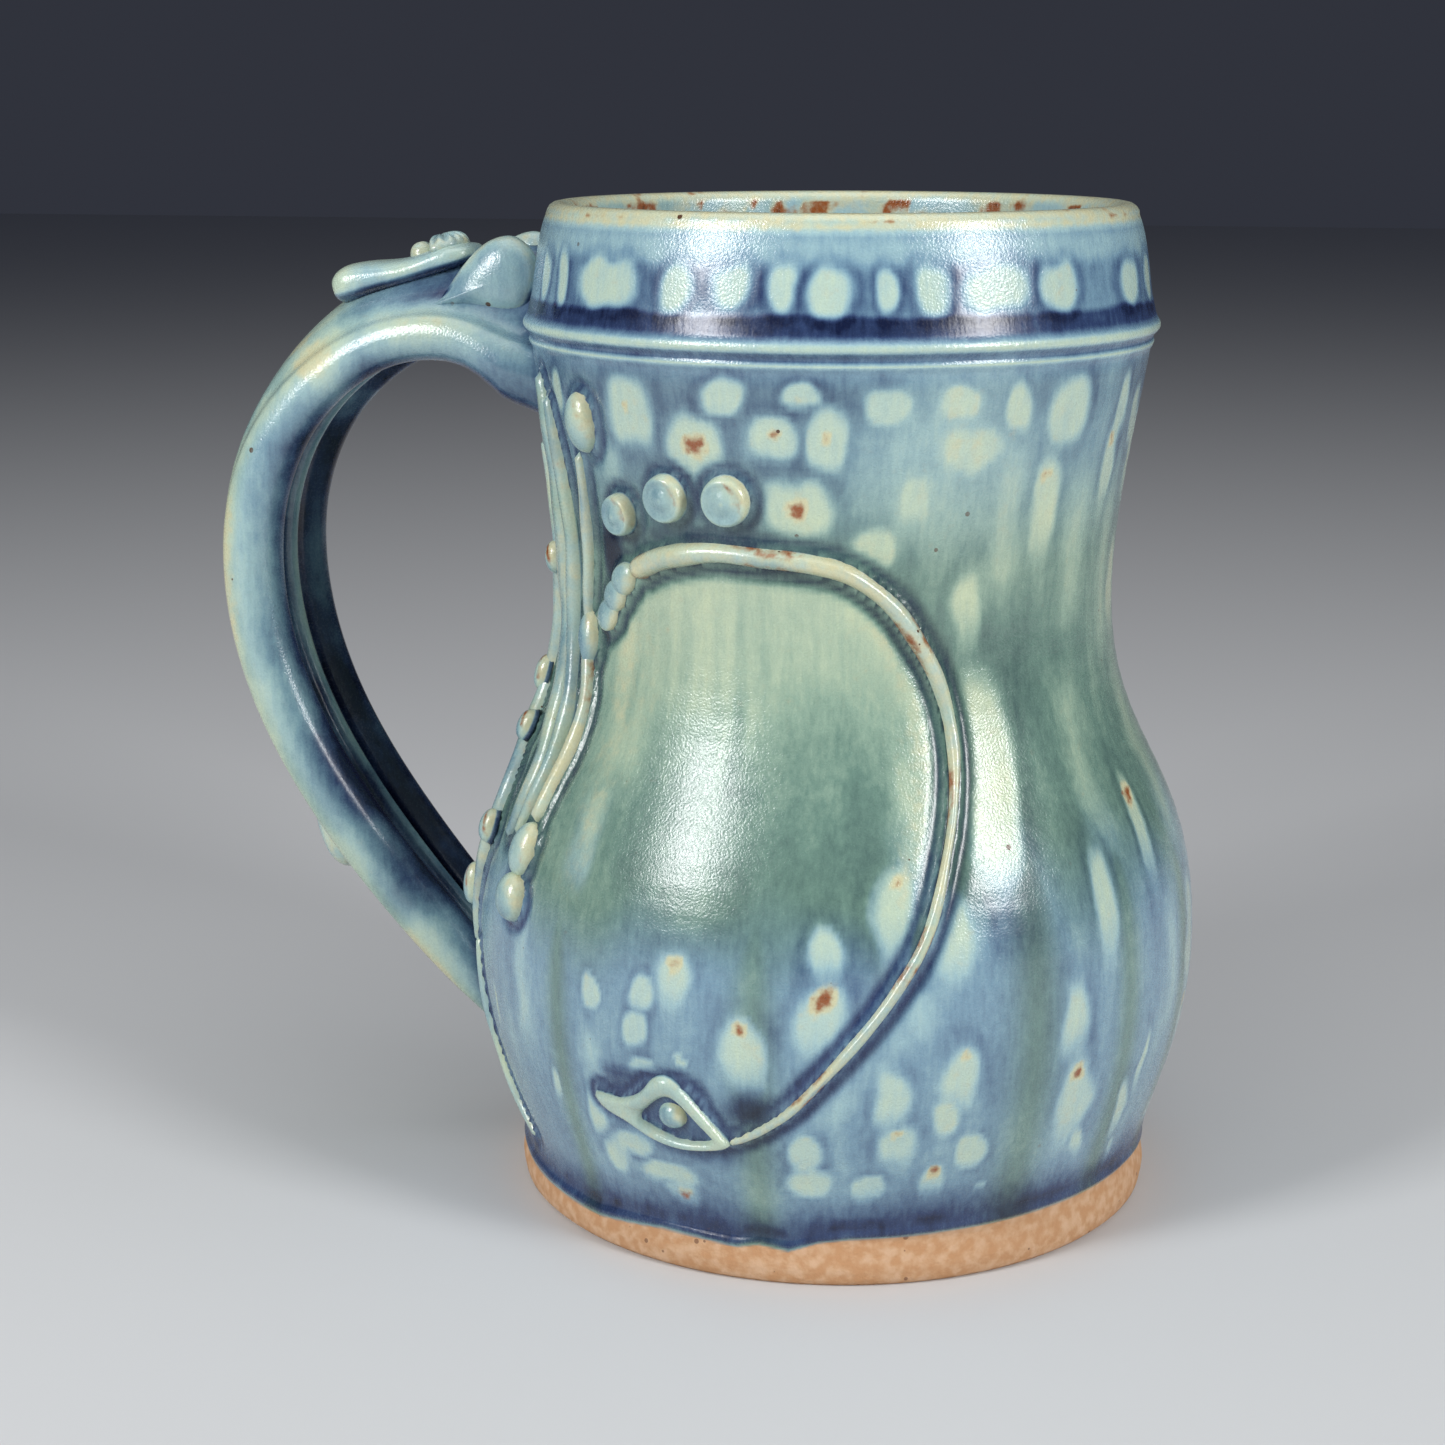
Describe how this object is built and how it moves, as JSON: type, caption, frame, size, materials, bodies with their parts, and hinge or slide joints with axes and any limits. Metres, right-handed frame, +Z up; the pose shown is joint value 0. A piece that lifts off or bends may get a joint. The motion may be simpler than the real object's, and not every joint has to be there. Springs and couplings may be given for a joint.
{
  "type": "beer stein",
  "caption": "Lidless hand-thrown stoneware stein with a pear-shaped body, ridged collar, pulled strap handle and applied vine sprigs.",
  "frame": {"origin": "centre of the foot's flat resting face, on the throwing axis", "axes": "+Z up along the throwing axis, handle towards -X, vine sprigs on the -Y flank"},
  "size_m": [0.1473, 0.1071, 0.145],
  "materials": {
    "body_glaze": "satin blue-green glaze over bare tan stoneware at the foot",
    "handle_glaze": "satin pale blue glaze, navy in the grooves",
    "sprig_glaze": "satin cream-green glaze, thin over raised clay"
  },
  "bodies": {
    "root": {"bud_stem": "sprig_glaze", "button_bead_1": "sprig_glaze", "button_bead_2": "sprig_glaze", "button_bead_3": "sprig_glaze", "eye_bead": "sprig_glaze", "eye_leaf": "sprig_glaze", "far_shoulder_leaf": "handle_glaze", "flank_pod_1": "sprig_glaze", "flank_pod_2": "sprig_glaze", "flank_pod_3": "sprig_glaze", "flank_pod_4": "sprig_glaze", "flank_pod_5": "sprig_glaze", "flank_strand": "sprig_glaze", "foot_strand": "sprig_glaze", "left_twist": "sprig_glaze", "lower_bead": "sprig_glaze", "near_shoulder_leaf": "handle_glaze", "oval_bud": "sprig_glaze", "pod_stem": "sprig_glaze", "pointed_bud": "sprig_glaze", "pulled_handle": "handle_glaze", "right_twist": "sprig_glaze", "spur_leaf": "handle_glaze", "stem_pod": "sprig_glaze", "tail_leaf": "handle_glaze", "thrown_body": "body_glaze", "thumb_rest": "handle_glaze", "thumb_rest_bead": "handle_glaze", "thumb_rest_comb": "handle_glaze", "vine": "sprig_glaze", "vine_scale_1": "sprig_glaze", "vine_scale_2": "sprig_glaze", "vine_scale_3": "sprig_glaze"}
  },
  "joints": []
}
